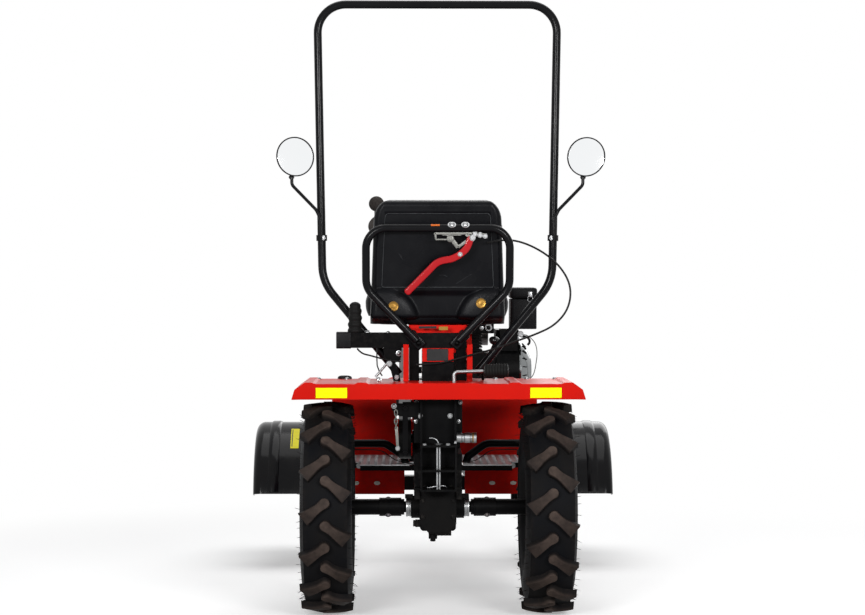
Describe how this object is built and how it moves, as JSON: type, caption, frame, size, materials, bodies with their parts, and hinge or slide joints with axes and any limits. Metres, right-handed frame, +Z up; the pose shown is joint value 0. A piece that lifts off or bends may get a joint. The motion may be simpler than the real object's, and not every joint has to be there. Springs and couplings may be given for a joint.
{
  "type": "mini tractor",
  "caption": "Small ride-on garden tractor with narrow lug rear tyres, pressed rear deck, guarded seat, roll hoop, wide front arches and an open engine.",
  "frame": {"origin": "on the ground below the middle of the machine's box", "axes": "+X tractor's right, +Y its front, +Z up"},
  "size_m": [1.254, 1.8199, 1.8585],
  "materials": {
    "red_paint": "gloss red enamel",
    "black_paint": "black powder coat",
    "silver_paint": "silver paint",
    "cast_iron": "black painted casting",
    "engine_alloy": "dark cast alloy",
    "zinc": "bright zinc plate",
    "muffler_steel": "heat-marked steel",
    "chequer_plate": "raised chequer pattern",
    "black_plastic": "satin black moulding",
    "gloss_black": "gloss black moulding",
    "reflector": "bright yellow reflector",
    "lamp_shell": "black lamp body",
    "mirror_glass": "silvered glass",
    "rubber": "matte moulded rubber",
    "cable_jacket": "smooth jacket",
    "seat_vinyl": "grained vinyl",
    "tyre": "dusty black rubber"
  },
  "bodies": {
    "chassis": {"air_cleaner": "black_plastic", "belt_guard": "black_paint", "brake_bracket": "zinc", "brake_cable": "cable_jacket", "brake_lever": "red_paint", "chassis_frame": "black_paint", "deck_reflectors": "reflector", "drive_lever": "zinc", "engine_block": "engine_alloy", "foot_boards": "chequer_plate", "front_arch_left": "gloss_black", "front_arch_right": "gloss_black", "front_axle": "black_paint", "front_guard": "black_paint", "fuel_tank": "black_paint", "gear_lever": "black_plastic", "gearbox": "cast_iron", "headlamps": "lamp_shell", "hitch_bracket": "black_paint", "hitch_pin": "zinc", "leg_shield": "red_paint", "lever_boot": "rubber", "lever_cable": "cable_jacket", "mirror_heads": "mirror_glass", "mirror_stalks": "black_paint", "muffler": "muffler_steel", "rear_deck": "red_paint", "recoil_cover": "silver_paint", "roll_hoop": "black_paint", "seat_back_pad": "seat_vinyl", "seat_beam": "black_paint", "seat_cushion": "seat_vinyl", "seat_guard": "black_paint", "seat_shell": "black_plastic", "seat_stand": "red_paint", "shift_strap": "zinc", "side_socket": "zinc", "steering_box": "cast_iron", "steering_column": "black_paint", "well_guards": "black_paint"},
    "rear_wheel_left": {"rear_tyre_left": "tyre", "rear_wheel_left": "black_paint"},
    "rear_wheel_right": {"rear_tyre_right": "tyre", "rear_wheel_right": "black_paint"},
    "front_wheel_left": {"front_tyre_left": "tyre", "front_wheel_left": "black_paint"},
    "front_wheel_right": {"front_tyre_right": "tyre", "front_wheel_right": "black_paint"},
    "knuckle_left": {"knuckle_left": "black_paint"},
    "knuckle_right": {"knuckle_right": "black_paint"},
    "tie_rod": {"tie_rod": "zinc"},
    "drag_link": {"drag_link": "zinc"},
    "drop_arm": {"drop_arm": "black_paint"},
    "steering_wheel": {"steering_wheel": "black_plastic"}
  },
  "joints": [
    {"name": "rear_wheel_left_spin", "type": "hinge", "parent": "chassis", "child": "rear_wheel_left", "pos_m": [-0.332, -0.59, 0.32], "axis": [1, 0, 0], "continuous": true},
    {"name": "rear_wheel_right_spin", "type": "hinge", "parent": "chassis", "child": "rear_wheel_right", "pos_m": [0.332, -0.59, 0.32], "axis": [1, 0, 0], "continuous": true},
    {"name": "steer", "type": "hinge", "parent": "chassis", "child": "knuckle_left", "pos_m": [-0.305, 0.61, 0.205], "axis": [0, 0, 1], "range_deg": [-28, 28]},
    {"name": "steer_right", "type": "hinge", "parent": "chassis", "child": "knuckle_right", "pos_m": [0.305, 0.61, 0.205], "axis": [0, 0, 1], "range_deg": [-28, 28]},
    {"name": "front_wheel_left_spin", "type": "hinge", "parent": "knuckle_left", "child": "front_wheel_left", "pos_m": [-0.395, 0.61, 0.205], "axis": [1, 0, 0], "continuous": true},
    {"name": "front_wheel_right_spin", "type": "hinge", "parent": "knuckle_right", "child": "front_wheel_right", "pos_m": [0.395, 0.61, 0.205], "axis": [1, 0, 0], "continuous": true},
    {"name": "tie_rod_turn", "type": "hinge", "parent": "knuckle_left", "child": "tie_rod", "pos_m": [-0.305, 0.5, 0.334], "axis": [0, 0, 1], "range_deg": [-28, 28]},
    {"name": "drop_arm_turn", "type": "hinge", "parent": "chassis", "child": "drop_arm", "pos_m": [0, 0.09851, 0.358], "axis": [0, 0, 1], "range_deg": [-28, 28]},
    {"name": "drag_link_turn", "type": "hinge", "parent": "drop_arm", "child": "drag_link", "pos_m": [0.11, 0.09851, 0.358], "axis": [0, 0, 1], "range_deg": [-28, 28]},
    {"name": "steering_wheel_turn", "type": "hinge", "parent": "chassis", "child": "steering_wheel", "pos_m": [0, -0.11, 1.18], "axis": [0, -0.2924, 0.9563], "range_deg": [-252, 252]}
  ],
  "couplings": [
    {"joint": "steer_right", "follows": "steer", "ratio": 1},
    {"joint": "tie_rod_turn", "follows": "steer", "ratio": -1},
    {"joint": "drop_arm_turn", "follows": "steer", "ratio": 1},
    {"joint": "drag_link_turn", "follows": "steer", "ratio": -1},
    {"joint": "steering_wheel_turn", "follows": "steer", "ratio": 9}
  ]
}
